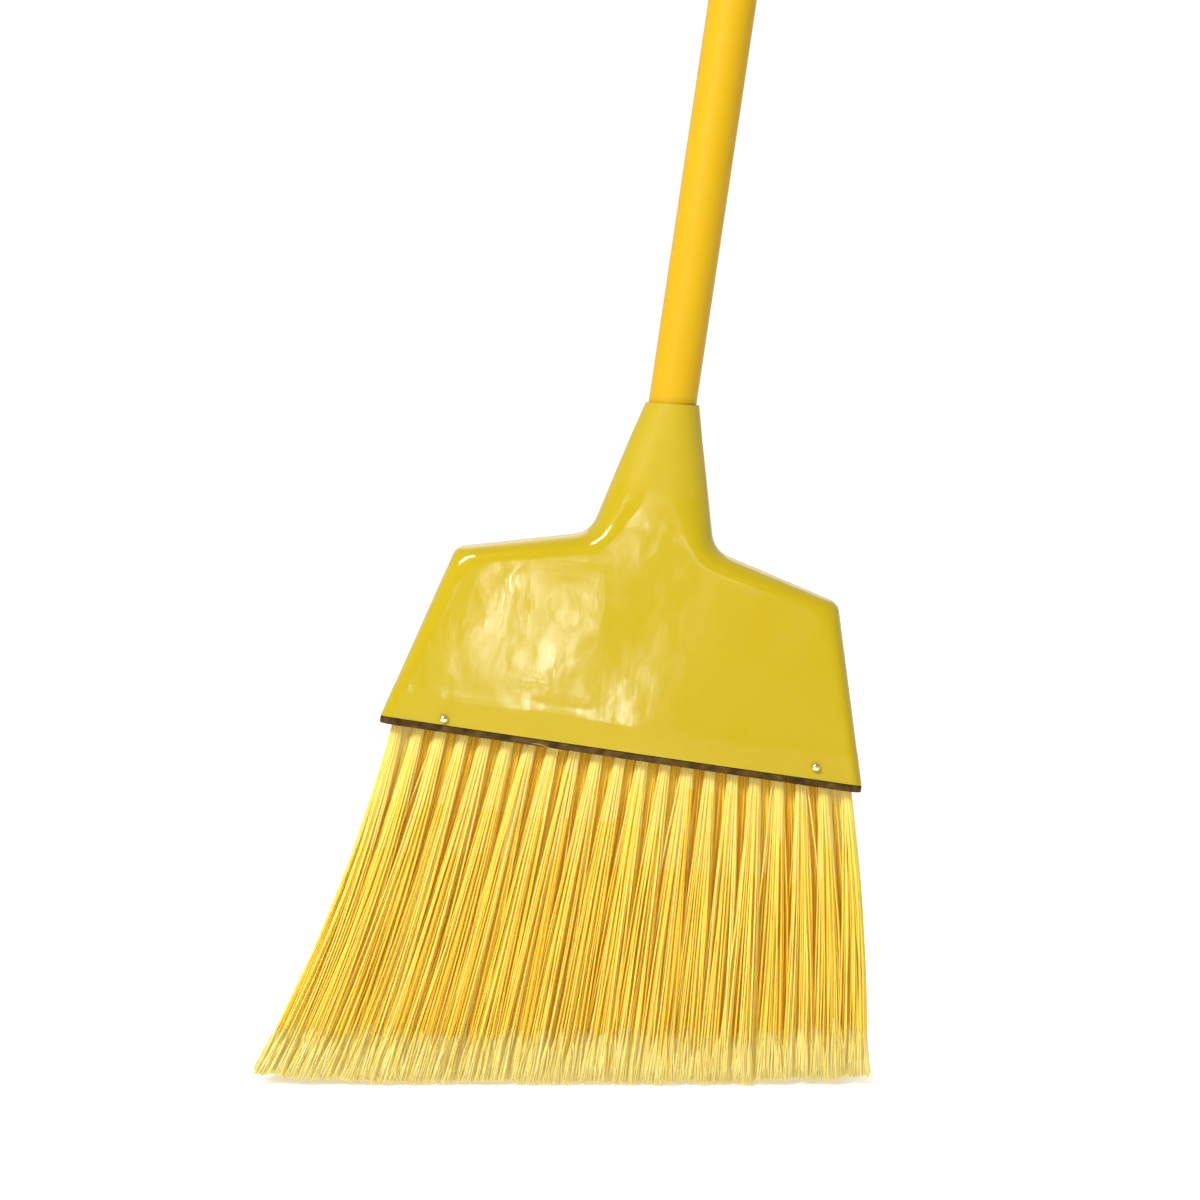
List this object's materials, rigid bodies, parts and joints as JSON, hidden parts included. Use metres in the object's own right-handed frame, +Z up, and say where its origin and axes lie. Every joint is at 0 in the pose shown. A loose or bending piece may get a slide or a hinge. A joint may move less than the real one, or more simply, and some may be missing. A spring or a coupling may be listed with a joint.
{
  "type": "angle broom",
  "caption": "Angle broom with a moulded cap over a slanted fan of flagged bristles and a round screw-in handle with a swivel hanger.",
  "frame": {"origin": "centre of the bristles' sweep face, on the floor", "axes": "+Z up from the floor; +X across the head, towards its shorter-bristled end and the way the handle leans; the front faces -Y"},
  "size_m": [0.3683, 0.0456, 1.3345],
  "materials": {
    "cap_plastic": "glossy moulded plastic, lemon to olive yellow, with fine scratches",
    "block_plastic": "rough dark brown",
    "bristles": "straight synthetic filaments, split and paler at the tips",
    "nail_brass": "polished round heads",
    "handle_coating": "smooth satin coating, warm yellow",
    "fitting_plastic": "moulded plastic, warm yellow",
    "rivet_steel": "plated"
  },
  "bodies": {
    "head": {"broom_cap": "cap_plastic", "bristle_block": "block_plastic", "nail_front_left": "nail_brass", "nail_front_right": "nail_brass", "nail_back_left": "nail_brass", "nail_back_right": "nail_brass", "front_tuft_01": "bristles", "front_tuft_02": "bristles", "front_tuft_03": "bristles", "front_tuft_04": "bristles", "front_tuft_05": "bristles", "front_tuft_06": "bristles", "front_tuft_07": "bristles", "front_tuft_08": "bristles", "front_tuft_09": "bristles", "front_tuft_10": "bristles", "front_tuft_11": "bristles", "front_tuft_12": "bristles", "front_tuft_13": "bristles", "front_tuft_14": "bristles", "front_tuft_15": "bristles", "front_tuft_16": "bristles", "front_tuft_17": "bristles", "front_tuft_18": "bristles", "front_tuft_19": "bristles", "front_tuft_20": "bristles", "front_tuft_21": "bristles", "inner_tufts": "bristles", "rear_tuft_01": "bristles", "rear_tuft_02": "bristles", "rear_tuft_03": "bristles", "rear_tuft_04": "bristles", "rear_tuft_05": "bristles", "rear_tuft_06": "bristles", "rear_tuft_07": "bristles", "rear_tuft_08": "bristles", "rear_tuft_09": "bristles", "rear_tuft_10": "bristles", "rear_tuft_11": "bristles", "rear_tuft_12": "bristles", "rear_tuft_13": "bristles", "rear_tuft_14": "bristles", "rear_tuft_15": "bristles", "rear_tuft_16": "bristles", "rear_tuft_17": "bristles", "rear_tuft_18": "bristles", "rear_tuft_19": "bristles", "rear_tuft_20": "bristles"},
    "hanger": {"swivel_hanger": "fitting_plastic"},
    "handle": {"handle_tube": "handle_coating", "threaded_tip": "fitting_plastic", "top_plug": "fitting_plastic", "hanger_pin": "rivet_steel"}
  },
  "joints": [
    {"name": "handle_advance", "type": "slide", "parent": "head", "child": "hanger", "axis": [0.1461, 0, 0.9893], "range_m": [0, 0.0304]},
    {"name": "handle_screw", "type": "hinge", "parent": "hanger", "child": "handle", "pos_m": [0.19844, 0, 1.30607], "axis": [0.1461, 0, 0.9893], "range_deg": [0, 2160]}
  ],
  "couplings": [
    {"joint": "handle_screw", "follows": "handle_advance", "rad_per_m": 1236.8}
  ]
}
